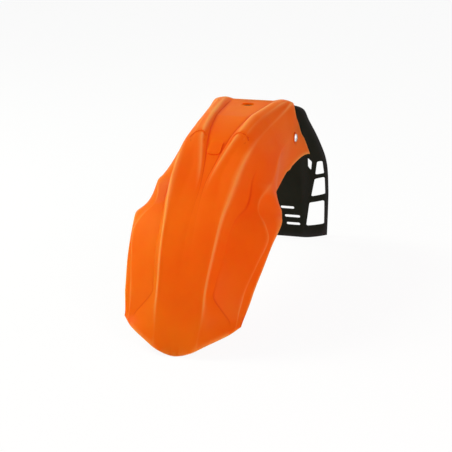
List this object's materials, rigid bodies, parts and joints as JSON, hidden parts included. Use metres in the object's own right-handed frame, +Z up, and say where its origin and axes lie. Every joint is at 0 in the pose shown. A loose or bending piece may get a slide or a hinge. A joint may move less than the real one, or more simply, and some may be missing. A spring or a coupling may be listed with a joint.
{
  "type": "motorcycle front mudguard",
  "caption": "Front mudguard with a ridged deck, hood and side wings, a round mounting hole, and a vented rear flap riveted inside its side walls.",
  "frame": {"origin": "centre of the deck's round mounting hole, on the deck's upper face", "axes": "+Z up out of the deck hole, -Y forward to the tip, +X across, to the right in a view from the front with +Z up"},
  "size_m": [0.2182, 0.5948, 0.2704],
  "materials": {
    "shell": "glossy moulded",
    "flap": "satin moulded",
    "rivet": "bright domed"
  },
  "bodies": {
    "root": {"front_shell": "shell", "rear_flap": "flap", "side_rivets": "rivet"}
  },
  "joints": []
}
